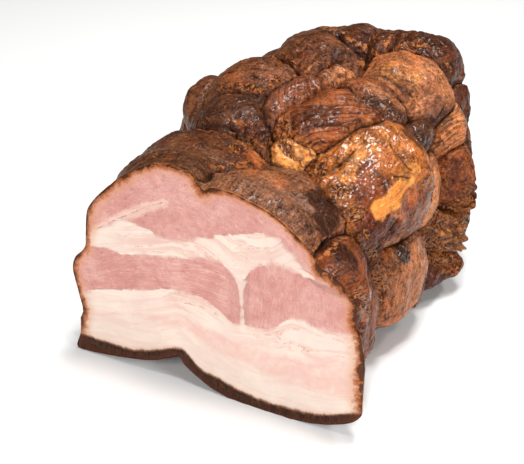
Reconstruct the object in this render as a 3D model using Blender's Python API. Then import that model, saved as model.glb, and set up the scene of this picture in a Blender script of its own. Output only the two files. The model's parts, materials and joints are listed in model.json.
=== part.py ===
"""Pork belly slab: a net-roasted block of belly, cut flat at the front and lying on its rind.

The slab is one solid. A core line runs from the cut to the back, and every cross section is a radius
measured from that line. The browned crust swells in pillows between the creases that the roasting net
pressed in. Lengths are in metres, angles in degrees. The cut looks along -Y and the rind lies on z = 0.
"""

import bpy
import bmesh
import numpy as np

# Driving sizes
CORE_Z = 0.048            # height of the core line in the sections' own frame
END_START = 0.182         # the core line stops here, measured from the cut
END_REACH = 0.036         # how far the rounded back end stands behind the core line
CUT_BLEND = 0.028         # over this length the outline of the cut turns into the cross sections
TOP_SQUARENESS = 2.7      # power of the section's curve above the core line
BASE_SQUARENESS = 4.5     # and below it, where the corners are nearly square
BASE_Z = -0.0055          # the sections reach this low before the table flattens them
TABLE_Z = -0.0015         # level of the table under the core line
LEAN = 1.9                # the sections lean this far to the left as the slab lies
CUT_MARGIN = 0.004        # what the knife takes off the front

# Outline of the cut face as (x, z), from the tip of the rind at the lower left, clockwise seen from the front
CUT_OUTLINE = [
    (-0.075, 0.0015), (-0.073, 0.011), (-0.0725, 0.0195), (-0.071, 0.025), (-0.075, 0.045), (-0.073, 0.053),
    (-0.067, 0.0605), (-0.064, 0.081), (-0.048, 0.0985), (-0.028, 0.111), (-0.010, 0.111), (-0.0023, 0.1038),
    (0.002, 0.1058), (0.014, 0.105), (0.033, 0.0985), (0.049, 0.0865), (0.054, 0.079), (0.059, 0.077),
    (0.070, 0.068), (0.0712, 0.055), (0.074, 0.050), (0.076, 0.036), (0.0758, 0.0135), (0.0754, 0.0093),
    (0.0719, 0.0054), (0.0669, 0.0025), (0.0591, -0.0005), (0.0476, -0.0027), (0.0300, -0.0038),
    (0.0150, -0.0029), (0.0079, -0.0016), (0.0005, 0.0002), (-0.0056, 0.0032), (-0.0105, 0.0062),
    (-0.0153, 0.0099), (-0.0177, 0.0133), (-0.0234, 0.0107), (-0.0325, 0.0067), (-0.0428, 0.0045),
    (-0.0553, 0.0027),
]
CUT_TENSION = 0.4         # slope of the outline at a point, as a share of the step between its neighbours

# Cross sections at the level of the creases: distance from the cut, left x, right x, top left z, top right z
SECTIONS = [
    (0.000, -0.068, 0.064, 0.104, 0.084),
    (0.040, -0.067, 0.060, 0.107, 0.088),
    (0.070, -0.065, 0.054, 0.110, 0.094),
    (0.100, -0.071, 0.062, 0.118, 0.108),
    (0.130, -0.071, 0.057, 0.124, 0.119),
    (0.150, -0.070, 0.065, 0.122, 0.124),
    (0.165, -0.068, 0.061, 0.121, 0.127),
    (0.190, -0.063, 0.054, 0.116, 0.127),
    (0.220, -0.052, 0.045, 0.104, 0.116),
]

# The hollow along the underside: its middle, its half width, and its depth at distances from the cut
ARCH_X = -0.017
ARCH_WIDTH = 0.015
ARCH_DEPTHS = [(0.000, 0.012), (0.060, 0.007), (0.120, 0.004), (0.200, 0.003)]

# Pillows of the crust that the photo shows: angle round the core line, distance from the cut,
# half size across, half size along, tilt of the first half size, height
SHOWN_PILLOWS = {
    "front right of the notch": (62, 0.020, 0.038, 0.031, 177, 0.009),
    "front left of the notch": (117, 0.030, 0.034, 0.031, 142, 0.009),
    "front right side": (20, 0.014, 0.022, 0.026, 175, 0.008),
    "small one beside the cut": (-12, 0.034, 0.025, 0.021, 170, 0.006),
    "golden spot": (75, 0.067, 0.016, 0.012, 166, 0.003),
    "fan": (70, 0.090, 0.030, 0.023, 142, 0.009),
    "golden": (36, 0.081, 0.036, 0.038, 0, 0.012),
    "low right": (-15, 0.083, 0.029, 0.027, 171, 0.009),
    "orange band": (95, 0.094, 0.022, 0.012, 95, 0.006),
    "left upper": (117, 0.102, 0.028, 0.022, 150, 0.008),
    "left lower": (118, 0.077, 0.025, 0.021, 183, 0.006),
    "left rim": (112, 0.059, 0.021, 0.014, 177, 0.003),
    "far left": (140, 0.102, 0.022, 0.013, 90, 0.010),
    "top left": (98, 0.134, 0.025, 0.027, 174, 0.007),
    "mound": (87, 0.118, 0.009, 0.011, 5, 0.004),
    "back top": (88, 0.158, 0.012, 0.024, 0, 0.005),
    "knob": (76, 0.160, 0.007, 0.008, 149, 0.005),
    "back right": (60, 0.174, 0.028, 0.018, 140, 0.009),
    "back corner": (38, 0.176, 0.018, 0.018, 0, 0.004),
    "big one at the back": (56, 0.140, 0.028, 0.023, 142, 0.010),
    "long one in the middle": (64, 0.113, 0.023, 0.017, 160, 0.007),
    "knuckle": (40, 0.123, 0.012, 0.015, 170, 0.006),
    "slat": (18, 0.118, 0.023, 0.017, 159, 0.005),
    "far right": (8, 0.150, 0.021, 0.020, 178, 0.008),
    "back side": (34, 0.149, 0.019, 0.016, 7, 0.006),
    "crag": (-14, 0.142, 0.026, 0.014, 110, 0.005),
    "block": (-36, 0.139, 0.028, 0.020, 101, 0.011),
    "far right behind": (5, 0.182, 0.024, 0.020, 0, 0.003),
    "low right behind": (-24, 0.176, 0.024, 0.022, 0, 0.005),
    "foot right": (-33, 0.107, 0.018, 0.017, 0, 0.004),
}

# Pillows of the sides that the photo hides, on a staggered net like the shown ones
LEFT_WALL = {"angles": (157, 182, 207), "start": 0.040, "step": 0.036, "rows": 4}
BACK_RIM = {"angles": (132, 162, 192, 222), "distance": 0.198}
BACK_END = {"angles": (-45, 0, 52, 98, 142, 186, 232), "distance": 0.2150}
BACK_MIDDLE = {"angles": (80,), "distance": 0.2179}
HIDDEN_HALF_SIZE = 0.025
HIDDEN_HEIGHT = 0.0055
HIDDEN_SEED = 4

CREASE_DEPTH = 0.0035     # the creases cut this much deeper than where two pillows meet
CREASE_WIDTH = 0.0024
OPEN_CRUST = -0.002       # level of the crust where no pillow reaches
PILLOW_POWER = 2.4        # how flat a pillow is on top
CUT_FADE = 0.014          # the pillows start from nothing at the cut
TABLE_FADE = (0.003, 0.018)  # and from nothing at the table, between these heights

# The middle of the finished slab's box, which becomes the origin
MIDDLE_X = -0.0017
MIDDLE_Y = 0.1113

# Mesh
AROUND = 88
RINGS = 66
END_RINGS = 15

CRUST_COLOUR = (0.27, 0.115, 0.045, 1.0)
CRUST_ROUGHNESS = 0.45


def clear_scene():
    for thing in list(bpy.data.objects):
        bpy.data.objects.remove(thing, do_unlink=True)


def ease(share):
    share = np.clip(share, 0, 1)
    return share * share * (3 - 2 * share)


def cut_radius(turn):
    """Radius of the cut's outline at an angle round the core line"""
    corner = np.array(CUT_OUTLINE)
    following = np.roll(corner, -1, axis=0)
    slope = CUT_TENSION * (following - np.roll(corner, 1, axis=0))
    t = np.linspace(0, 1, 24, endpoint=False)[:, None, None]
    line = (2 * t**3 - 3 * t**2 + 1) * corner + (t**3 - 2 * t**2 + t) * slope
    line = line + (3 * t**2 - 2 * t**3) * following + (t**3 - t**2) * np.roll(slope, -1, axis=0)
    line = line.reshape(-1, 2)
    angle = np.arctan2(line[:, 1] - CORE_Z, line[:, 0])
    order = np.argsort(angle)
    radius = np.hypot(line[:, 0], line[:, 1] - CORE_Z)
    return np.interp(turn, angle[order], radius[order], period=2 * np.pi)


def section_radius(turn, along):
    """Radius of the cross section at a distance from the cut, at the level of the creases"""
    rows = np.array(SECTIONS)
    left, right, top_left, top_right = (np.interp(along, rows[:, 0], rows[:, k]) for k in range(1, 5))
    across, up = np.cos(turn), np.sin(turn)
    half_width = np.where(across > 0, right, -left)
    top = top_left + (top_right - top_left) * ease((across + 1) / 2) - CORE_Z
    half_height = np.where(up > 0, top, CORE_Z - BASE_Z)
    power = np.where(up > 0, TOP_SQUARENESS, BASE_SQUARENESS)
    radius = (np.abs(across / half_width)**power + np.abs(up / half_height)**power)**(-1 / power)
    arch = np.interp(along, [row[0] for row in ARCH_DEPTHS], [row[1] for row in ARCH_DEPTHS])
    off = (radius * across - ARCH_X) / ARCH_WIDTH
    hollow = arch * np.exp(-off**2) / np.maximum(-up, 0.2)
    return np.where(up < -0.2, radius - hollow, radius)


def core_surface(turn, along):
    """Points of the slab without its pillows, and how far the surface leans back there"""
    lean = np.arcsin(np.clip((along - END_START) / END_REACH, 0, 1))
    blend = ease(along / CUT_BLEND)
    radius = cut_radius(turn) * (1 - blend) + section_radius(turn, along) * blend
    radius = radius * np.cos(lean)**0.6
    across, up = radius * np.cos(turn), radius * np.sin(turn)
    return np.stack([across, along + 0 * turn, CORE_Z + up], axis=-1), lean


def outward(turn, lean):
    """Direction in which a pillow rises"""
    flat = np.cos(lean)
    return np.stack([np.cos(turn) * flat, np.sin(lean) + 0 * turn, np.sin(turn) * flat], axis=-1)


def pillow_frame(turn, along, tilt):
    """Centre of a pillow on the core surface, its two directions and its normal"""
    def at(turn, along):
        return core_surface(np.array(turn), np.array(along))[0]
    round_slab = at(turn + 0.02, along) - at(turn - 0.02, along)
    down_slab = at(turn, along + 0.001) - at(turn, along - 0.001)
    normal = np.cross(down_slab, round_slab)
    normal = normal / np.linalg.norm(normal)
    first = round_slab / np.linalg.norm(round_slab)
    second = np.cross(first, normal)
    turned_first = first * np.cos(tilt) + second * np.sin(tilt)
    turned_second = second * np.cos(tilt) - first * np.sin(tilt)
    return at(turn, along), turned_first, turned_second, normal


def hidden_pillows():
    """Pillows on the left wall and on the back end, unevenly spaced by a seeded draw"""
    draw = np.random.default_rng(HIDDEN_SEED)
    places = []
    for row in range(LEFT_WALL["rows"]):
        shift = 12 if row % 2 else 0
        distance = LEFT_WALL["start"] + row * LEFT_WALL["step"]
        places += [(angle + shift, distance) for angle in LEFT_WALL["angles"]]
    for ring in (BACK_RIM, BACK_END, BACK_MIDDLE):
        places += [(angle, ring["distance"]) for angle in ring["angles"]]
    pillows = []
    for angle, distance in places:
        size = HIDDEN_HALF_SIZE * draw.uniform(0.85, 1.2, 2)
        spread = draw.uniform(-1, 1, 2)
        if distance < END_START:
            distance = distance + 0.003 * spread[1]
        height = HIDDEN_HEIGHT * draw.uniform(0.7, 1.25)
        pillows.append((angle + 4 * spread[0], distance, size[0], size[1], draw.uniform(-30, 30), height))
    return pillows


def pillow_relief(points):
    """Height of the crust over the core surface, with creases where two pillows meet"""
    heights = [np.full(len(points), OPEN_CRUST)]
    for angle, along, half_first, half_second, tilt, height in list(SHOWN_PILLOWS.values()) + hidden_pillows():
        centre, first, second, normal = pillow_frame(np.radians(angle), along, np.radians(tilt))
        off = points - centre
        reach = (off @ first / half_first)**2 + (off @ second / half_second)**2
        reach = reach + 0.6 * (off @ normal / max(half_first, half_second))**2
        heights.append(height * (1 - reach**(PILLOW_POWER / 2)))
    ranked = np.sort(np.array(heights), axis=0)
    crease = CREASE_DEPTH * np.exp((ranked[-2] - ranked[-1]) / CREASE_WIDTH)
    return ranked[-1] - crease


def lie_down(points):
    """The slab as it lies: its sections lean to the left and the table is z = 0"""
    lean = np.radians(LEAN)
    x, z = points[:, 0], points[:, 2] - TABLE_Z
    across, up = x * np.cos(lean) - z * np.sin(lean), x * np.sin(lean) + z * np.cos(lean)
    return np.stack([across, points[:, 1], up], axis=-1)


def slab_points(turn, along):
    """Points of the finished slab"""
    points, back_lean = core_surface(turn, along)
    low, high = TABLE_FADE
    above_table = ease((lie_down(points)[:, 2] - low) / (high - low))
    rise = pillow_relief(points) * ease(along / CUT_FADE) * above_table
    points = lie_down(points + outward(turn, back_lean) * rise[:, None])
    points[:, 2] = np.maximum(points[:, 2], 0)
    return points


def ring_distance(ring):
    """Distance from the cut of one ring of the mesh, from the front pole to the back pole"""
    last_straight = RINGS - END_RINGS
    if ring <= last_straight:
        return -CUT_MARGIN + (END_START + CUT_MARGIN) * max(ring - 1, 0) / (last_straight - 1)
    return END_START + END_REACH * np.sin(np.pi / 2 * (ring - last_straight) / END_RINGS)


def loaf():
    """The uncut loaf: a sphere whose rings are spread along the core line and swollen to the slab's form"""
    mesh = bmesh.new()
    bmesh.ops.create_uvsphere(mesh, u_segments=AROUND, v_segments=RINGS, radius=1)
    sphere = np.array([vert.co[:] for vert in mesh.verts])
    ring = np.rint(np.degrees(np.arccos(np.clip(sphere[:, 2], -1, 1))) / 180 * RINGS)
    along = np.array([ring_distance(number) for number in ring])
    turn = np.arctan2(sphere[:, 1], -sphere[:, 0])
    # The underside is plain, so it gets fewer of the points around than the crust
    turn = turn - 0.3 * np.sin(turn + np.pi / 2)
    points = slab_points(turn, along)
    front_pole = ring == 0
    points[front_pole] = (0, -CUT_MARGIN, CORE_Z)
    for vert, point in zip(mesh.verts, points):
        vert.co = point
    return mesh


def cut_front(mesh):
    """One flat stroke of the knife at y = 0"""
    everything = mesh.verts[:] + mesh.edges[:] + mesh.faces[:]
    bmesh.ops.bisect_plane(mesh, geom=everything, plane_co=(0, 0, 0), plane_no=(0, -1, 0), clear_outer=True)
    rim = [edge for edge in mesh.edges if edge.is_boundary]
    face = bmesh.ops.holes_fill(mesh, edges=rim, sides=0)["faces"]
    bmesh.ops.poke(mesh, faces=face)
    for edge in rim:
        edge.smooth = False


def crust_material():
    material = bpy.data.materials.new("pork_belly")
    material.use_nodes = True
    shader = material.node_tree.nodes["Principled BSDF"]
    shader.inputs["Base Color"].default_value = CRUST_COLOUR
    shader.inputs["Roughness"].default_value = CRUST_ROUGHNESS
    shader.inputs["Metallic"].default_value = 0.0
    return material


def build_slab():
    mesh = loaf()
    cut_front(mesh)
    bmesh.ops.translate(mesh, verts=mesh.verts, vec=(-MIDDLE_X, -MIDDLE_Y, 0))
    bmesh.ops.recalc_face_normals(mesh, faces=mesh.faces)
    for face in mesh.faces:
        face.smooth = True
    data = bpy.data.meshes.new("pork_belly")
    mesh.to_mesh(data)
    mesh.free()
    data.materials.append(crust_material())
    slab = bpy.data.objects.new("pork_belly", data)
    bpy.context.scene.collection.objects.link(slab)
    return slab


clear_scene()
build_slab()
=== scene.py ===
"""Looks of the pork belly slab: browned crust in pillows, a flat cut through lean and fat, and dark rind.

One closed mesh replaces the CAD solid. It has the same form, from the same named sizes, and adds the relief
that is too fine for the solid: frayed creases, crags, flakes, strands and grain. Lengths are in metres and
angles in degrees. In the slab's own coordinates the cut is the plane y = 0 and looks along -Y.
"""

import json
import math

import bpy
import numpy as np
from mathutils import Matrix, Vector

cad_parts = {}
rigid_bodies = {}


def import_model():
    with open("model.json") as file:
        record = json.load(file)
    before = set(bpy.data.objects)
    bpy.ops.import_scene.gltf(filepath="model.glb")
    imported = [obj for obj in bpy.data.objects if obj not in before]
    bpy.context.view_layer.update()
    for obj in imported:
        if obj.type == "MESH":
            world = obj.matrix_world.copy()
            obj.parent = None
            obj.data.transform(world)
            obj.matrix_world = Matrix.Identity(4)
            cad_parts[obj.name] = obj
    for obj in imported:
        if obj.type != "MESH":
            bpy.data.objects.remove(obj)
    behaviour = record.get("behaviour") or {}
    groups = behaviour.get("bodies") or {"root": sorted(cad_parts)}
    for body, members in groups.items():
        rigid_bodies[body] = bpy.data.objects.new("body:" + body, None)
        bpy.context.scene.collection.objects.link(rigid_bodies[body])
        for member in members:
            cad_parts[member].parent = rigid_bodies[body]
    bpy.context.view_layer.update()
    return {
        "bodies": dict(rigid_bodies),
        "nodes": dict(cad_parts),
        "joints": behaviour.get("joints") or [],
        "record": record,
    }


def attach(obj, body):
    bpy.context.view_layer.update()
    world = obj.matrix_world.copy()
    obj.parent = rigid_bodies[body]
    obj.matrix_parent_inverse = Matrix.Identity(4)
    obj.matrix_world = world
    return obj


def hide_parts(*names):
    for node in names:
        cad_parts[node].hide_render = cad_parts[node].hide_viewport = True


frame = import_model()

# Form, as in the part's source
CORE_Z = 0.048
END_START = 0.182
END_REACH = 0.036
CUT_BLEND = 0.028
TOP_SQUARENESS = 2.7
BASE_SQUARENESS = 4.5
BASE_Z = -0.0055
TABLE_Z = -0.0015
LEAN = 1.9
CUT_OUTLINE = [
    (-0.075, 0.0015), (-0.073, 0.011), (-0.0725, 0.0195), (-0.071, 0.025), (-0.075, 0.045), (-0.073, 0.053),
    (-0.067, 0.0605), (-0.064, 0.081), (-0.048, 0.0985), (-0.028, 0.111), (-0.01, 0.111), (-0.0023, 0.1038),
    (0.002, 0.1058), (0.014, 0.105), (0.033, 0.0985), (0.049, 0.0865), (0.054, 0.079), (0.059, 0.077),
    (0.07, 0.068), (0.0712, 0.055), (0.074, 0.05), (0.076, 0.036), (0.0758, 0.0135), (0.0754, 0.0093),
    (0.0719, 0.0054), (0.0669, 0.0025), (0.0591, -0.0005), (0.0476, -0.0027), (0.03, -0.0038),
    (0.015, -0.0029), (0.0079, -0.0016), (0.0005, 0.0002), (-0.0056, 0.0032), (-0.0105, 0.0062),
    (-0.0153, 0.0099), (-0.0177, 0.0133), (-0.0234, 0.0107), (-0.0325, 0.0067), (-0.0428, 0.0045),
    (-0.0553, 0.0027),
]
CUT_TENSION = 0.4
SECTIONS = [
    (0.000, -0.068, 0.064, 0.104, 0.084),
    (0.04, -0.067, 0.06, 0.107, 0.088),
    (0.07, -0.065, 0.054, 0.11, 0.094),
    (0.1, -0.071, 0.062, 0.118, 0.108),
    (0.13, -0.071, 0.057, 0.124, 0.119),
    (0.15, -0.07, 0.065, 0.122, 0.124),
    (0.165, -0.068, 0.061, 0.121, 0.127),
    (0.19, -0.063, 0.054, 0.116, 0.127),
    (0.22, -0.052, 0.045, 0.104, 0.116),
]
ARCH_X = -0.017
ARCH_WIDTH = 0.015
ARCH_DEPTHS = [(0.000, 0.012), (0.06, 0.007), (0.12, 0.004), (0.2, 0.003)]
MIDDLE_X = -0.0017
MIDDLE_Y = 0.1113

# Pillows of the crust: angle round the core line, distance from the cut, half size across, half size along,
# tilt, height; then the colour of the crust there, how greasy it is, how it is streaked and which way
SHOWN_PILLOWS = {
    "front right of the notch": ((62, 0.02, 0.038, 0.031, 177, 0.009), "grey brown", 0.2, 0.35, -91),
    "front left of the notch": ((117, 0.03, 0.034, 0.031, 142, 0.009), "olive brown", 0.1, 0.3, 20),
    "front right side": ((20, 0.014, 0.022, 0.026, 175, 0.008), "chestnut", 0.12, 0.8, -88),
    "small one beside the cut": ((-12, 0.034, 0.025, 0.021, 170, 0.006), "chestnut", 0.2, 0.5, 76),
    "golden spot": ((75, 0.067, 0.016, 0.012, 166, 0.003), "gold", 0.45, 0.3, 20),
    "fan": ((70, 0.09, 0.03, 0.023, 142, 0.009), "ember", 0.25, 1.0, -4),
    "golden": ((36, 0.081, 0.036, 0.038, 0, 0.012), "amber", 0.7, 0.4, 86),
    "low right": ((-15, 0.083, 0.029, 0.027, 171, 0.009), "sand", 0.25, 0.6, 12),
    "orange band": ((95, 0.094, 0.022, 0.012, 95, 0.006), "clay", 0.4, 0.8, 137),
    "left upper": ((117, 0.102, 0.028, 0.022, 150, 0.008), "warm brown", 0.15, 0.5, 15),
    "left lower": ((118, 0.077, 0.025, 0.021, 183, 0.006), "dark brown", 0.15, 0.5, -55),
    "left rim": ((112, 0.059, 0.021, 0.014, 177, 0.003), "umber", 0.3, 0.4, 5),
    "far left": ((140, 0.102, 0.022, 0.013, 90, 0.01), "warm brown", 0.15, 0.4, 60),
    "top left": ((98, 0.134, 0.025, 0.027, 174, 0.007), "walnut", 0.2, 0.4, 17),
    "mound": ((87, 0.118, 0.013, 0.014, 5, 0.004), "sand", 0.3, 0.4, 30),
    "back top": ((88, 0.158, 0.012, 0.024, 0, 0.005), "walnut", 0.25, 0.5, 10),
    "knob": ((76, 0.16, 0.011, 0.011, 149, 0.004), "umber", 0.3, 0.3, 0),
    "back right": ((60, 0.174, 0.028, 0.018, 140, 0.009), "red brown", 0.28, 1.0, -28),
    "back corner": ((38, 0.176, 0.018, 0.018, 0, 0.004), "red brown", 0.2, 0.7, 30),
    "big one at the back": ((56, 0.14, 0.028, 0.023, 142, 0.01), "sand", 0.25, 0.3, 33),
    "long one in the middle": ((64, 0.113, 0.023, 0.017, 160, 0.007), "russet", 0.4, 0.4, 0),
    "knuckle": ((40, 0.123, 0.012, 0.015, 170, 0.006), "dark brown", 0.6, 0.3, 0),
    "slat": ((18, 0.118, 0.023, 0.017, 159, 0.005), "pale fawn", 0.2, 0.4, 29),
    "far right": ((8, 0.15, 0.021, 0.02, 178, 0.008), "russet", 0.15, 0.4, -18),
    "back side": ((34, 0.149, 0.019, 0.016, 7, 0.006), "pale fawn", 0.2, 0.9, 82),
    "crag": ((-14, 0.142, 0.026, 0.014, 110, 0.005), "rust", 0.5, 0.4, 0),
    "block": ((-36, 0.139, 0.028, 0.02, 101, 0.011), "dark red", 0.2, 0.5, 30),
    "far right behind": ((5, 0.182, 0.024, 0.02, 0, 0.003), "warm brown", 0.2, 0.5, 30),
    "low right behind": ((-24, 0.176, 0.024, 0.022, 0, 0.005), "dark brown", 0.2, 0.5, 30),
    "foot right": ((-33, 0.107, 0.018, 0.017, 0, 0.004), "warm brown", 0.25, 0.4, 10),
}
LEFT_WALL = {"angles": (157, 182, 207), "stagger": 12, "start": 0.04, "step": 0.036, "rows": 4}
BACK_RIM = {"angles": (132, 162, 192, 222), "distance": 0.198}
BACK_END = {"angles": (-45, 0, 52, 98, 142, 186, 232), "distance": 0.215}
BACK_MIDDLE = {"angles": (80,), "distance": 0.2179}
HIDDEN_HALF_SIZE = 0.025
HIDDEN_HEIGHT = 0.0055
HIDDEN_SEED = 4
HIDDEN_COLOURS = ("warm brown", "olive brown", "grey brown", "clay", "russet", "umber")
OPEN_CRUST = -0.002  # height where no pillow reaches
PILLOW_POWER = 2.4
PILLOW_BLEND = 0.0006  # difference of height over which two pillows share their finish
CUT_FADE = 0.014
TABLE_FADE = (0.003, 0.018)

# Fine relief of the crust; waves are given as size and height
BEND = ((0.026, 0.0026), (0.009, 0.0015))  # size and reach of the waves that bend the creases
GROOVE = (0.0026, 0.001)  # depth and half width of a crease
HOLLOW = (0.0011, 0.003)  # and of the wider dip around it
LIP = (0.0007, 0.0021, 0.001)  # height, distance and half width of the frayed lip beside it
CREASE_LEAST = 0.7  # share of its depth that a crease keeps where it is weak
CREASE_REACH = 0.0014  # how far the painted shade of a crease reaches
EDGE_FRINGE = (0.0013, 0.9)  # width and strength of the frayed edge at the cut
FRINGE = (0.0024, 0.85)  # reach and strength of the roughness beside a crease
FRAYED_ROUGHNESS = 0.8
FLAKES_FRAYED = 0.8
FOLD_SHADE = 0.75  # how dark the painted shade of a fold is beside a crease
WAVER = (0.008, 0.0012)  # waves that bend folds and frayed bands
LUMPS = ((0.015, 0.0009), (0.0065, 0.0005), (0.0028, 0.00028), (0.0014, 0.00016))
STRAND_SIZE = (0.022, 0.0013, 0.008)  # length, thickness and depth of the meat's strands
STRAND_HEIGHT = 0.00018
RIB_SIZE = (0.034, 0.0034, 0.02)  # and of the ribs between them
RIB_HEIGHT = 0.00024
CRAG_SIZE = 0.0044
CRAG_DEPTH = 0.003
FLAKE_STEP = 0.0062
FLAKE_DEPTH = 0.0034
FLAKE_SLOPE = 0.35  # how much the flakes rise towards the back
UNDERSIDE_WAVES = ((0.01, 0.00025), (0.003, 0.00012))
STAIN_FRAY = 0.3  # how ragged the edge of a stain is
STAIN_DEPTH = 0.012  # how far a stain reaches through the surface
CAVITY_REACH = 6  # in points of the mesh

# Rough places: angle round the core line, distance from the cut, radius, strength
CRAGS = {
    "meeting of the creases": (92, 0.067, 0.012, 1.0),
    "beside the golden spot": (62, 0.066, 0.012, 0.9),
    "left of the meeting": (103, 0.062, 0.012, 0.7),
    "under the golden pillow": (4, 0.066, 0.014, 0.8),
    "low crease": (-18, 0.06, 0.014, 0.7),
    "top crease": (82, 0.14, 0.009, 0.7),
    "behind the left pillow": (104, 0.117, 0.01, 0.6),
    "right knuckle crease": (30, 0.134, 0.012, 0.7),
    "flaky side": (-14, 0.138, 0.02, 1.0),
    "back side": (24, 0.17, 0.018, 0.8),
}
FLAKES = (-13, 0.143, 0.024)

# Layers of the cut, as heights z over x
LEAN_BASE = [
    (-0.066, 0.066), (-0.057, 0.073), (-0.047, 0.079), (-0.038, 0.078), (-0.024, 0.0755), (-0.013, 0.077),
    (-0.003, 0.08), (0.007, 0.084), (0.018, 0.087), (0.027, 0.09), (0.035, 0.088), (0.045, 0.079),
    (0.052, 0.074), (0.06, 0.072),
]
FAT_BASE = [
    (-0.07, 0.061), (-0.055, 0.062), (-0.046, 0.061), (-0.038, 0.063), (-0.027, 0.065), (-0.014, 0.067),
    (-0.003, 0.07), (0.006, 0.07), (0.012, 0.065), (0.016, 0.063), (0.019, 0.067), (0.024, 0.073),
    (0.031, 0.0765), (0.043, 0.075), (0.053, 0.073), (0.066, 0.072),
]
SECOND_LEAN_BASE = [
    (-0.074, 0.034), (-0.053, 0.04), (-0.042, 0.043), (-0.031, 0.046), (-0.019, 0.05), (-0.01, 0.05),
    (-0.004, 0.049), (0.005, 0.045), (0.012, 0.04), (0.017, 0.041), (0.023, 0.041), (0.031, 0.043),
    (0.036, 0.047), (0.041, 0.051), (0.047, 0.051), (0.052, 0.049), (0.06, 0.05), (0.074, 0.052),
]
BLUSH_TOP = [
    (-0.072, 0.021), (-0.043, 0.031), (-0.015, 0.036), (0.005, 0.033), (0.028, 0.03), (0.07, 0.036),
]
BLUSH_BASE = [(-0.072, 0.021), (-0.043, 0.03), (-0.015, 0.029), (0.007, 0.021), (0.033, 0.017), (0.07, 0.017)]
RIND_TOP = [
    (-0.076, 0.01), (-0.0732, 0.0103), (-0.0631, 0.0096), (-0.0503, 0.0095), (-0.0434, 0.0094),
    (-0.0343, 0.0118), (-0.026, 0.015), (-0.0198, 0.0178), (-0.0155, 0.0183), (-0.0123, 0.016),
    (-0.0082, 0.0113), (-0.0045, 0.009), (0.0043, 0.0077), (0.0121, 0.005), (0.0212, 0.0034),
    (0.0301, 0.0024), (0.0388, 0.0027), (0.0475, 0.003), (0.0561, 0.0043), (0.0645, 0.0073),
    (0.0717, 0.0106), (0.076, 0.0112),
]
SEAM = [  # the fat that parts the second lean: z, x, half width
    (0.037, 0.017, 0.002), (0.044, 0.0165, 0.0006), (0.052, 0.0163, 0.0006), (0.058, 0.016, 0.0012),
    (0.064, 0.016, 0.003),
]
LOBE_SEAM = [(-0.061, 0.07), (-0.051, 0.077), (-0.041, 0.083), (-0.032, 0.089), (-0.023, 0.093)]
BROWNED = [  # places where the browned edge is deeper: x, z, reach, how much deeper
    (0.074, 0.045, 0.022, 0.9), (0.072, 0.02, 0.014, 0.7), (-0.074, 0.05, 0.014, 0.8),
    (-0.071, 0.025, 0.008, 1.6), (-0.002, 0.104, 0.009, 1.4), (-0.06, 0.088, 0.012, 0.4),
    (0.058, 0.078, 0.01, 0.9), (-0.074, 0.014, 0.008, 0.6), (0.026, 0.103, 0.02, -0.45),
    (-0.04, 0.104, 0.016, 0.6), (-0.064, 0.076, 0.012, 0.7), (-0.012, 0.11, 0.008, 0.5),
]
STREAKY = [  # places where the fat is marbled and torn: x, z, reach
    (-0.015, 0.068, 0.034), (0.02, 0.083, 0.022), (0.045, 0.044, 0.03), (-0.01, 0.046, 0.02),
]
BOW = (-0.015, 0.035)  # middle of the bowed fibres of the top lean
BOW_REACH = 0.06
FIBRE_SLOPES = [(-0.06, -12), (-0.02, -35), (0.01, -60), (0.02, 78), (0.06, 100)]  # x, slope
LAYER_SCALE = 0.032  # mean thickness of the fat between the rind and the second lean
BARE_BROWNED = 1.2  # how deep the browned edge is elsewhere
CUT_EDGE = 0.0009  # how far the cut's edge is rounded off
CUT_EDGE_WIDTH = 0.0014
CUT_STAND_BACK = 0.0002  # least distance of the cut face from the knife's plane
CUT_WAVES = ((0.012, 0.00022), (0.0035, 0.0001))
LEAN_SUNK = (0.00012, 0.00006)  # how far the lean stands back, and its grain
LOBE_GROOVE = (0.0005, 0.0007)  # depth and half width
MIDDLE_RIM = 0.05  # the middle of the cut counts as this far from its edge

# Mesh
AROUND = 520
STRAIGHT_RINGS = 275
END_RINGS = 85
FACE_RINGS = 78
CROWDING = (0.42, 50)  # share and middle angle of the finer points, towards the shown side

# Camera, fitted to the photo
VIEW_AZIMUTH = 27.2
VIEW_ELEVATION = 28.0
VIEW_DISTANCE = 0.661
VIEW_TARGET = (-0.0084, 0.0679, 0.05)
PHOTO_WIDTH = 524
FOCAL_PIXELS = 1340
SENSOR = 36.0

# Stage; lights as place, what they look at, size, power
FLOOR_HALF = 3.0
WORLD_STRENGTH = 0.1
LIGHTS = {
    "top": ((0.1, 0.1, 1.1), (0, 0, 0.05), 0.36, 10.0),
    "back right": ((0.55, 0.55, 0.85), (0, 0, 0.08), 0.15, 2.4),
    "glint": ((0.1, -0.3, 0.95), (0, 0, 0.08), 0.07, 1.6),
    "front": ((-0.1, -1.1, 0.55), (0, -0.08, 0.05), 0.6, 7.4),
    "right": ((1.0, -0.35, 0.6), (0, 0, 0.05), 0.4, 5.4),
}

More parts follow.
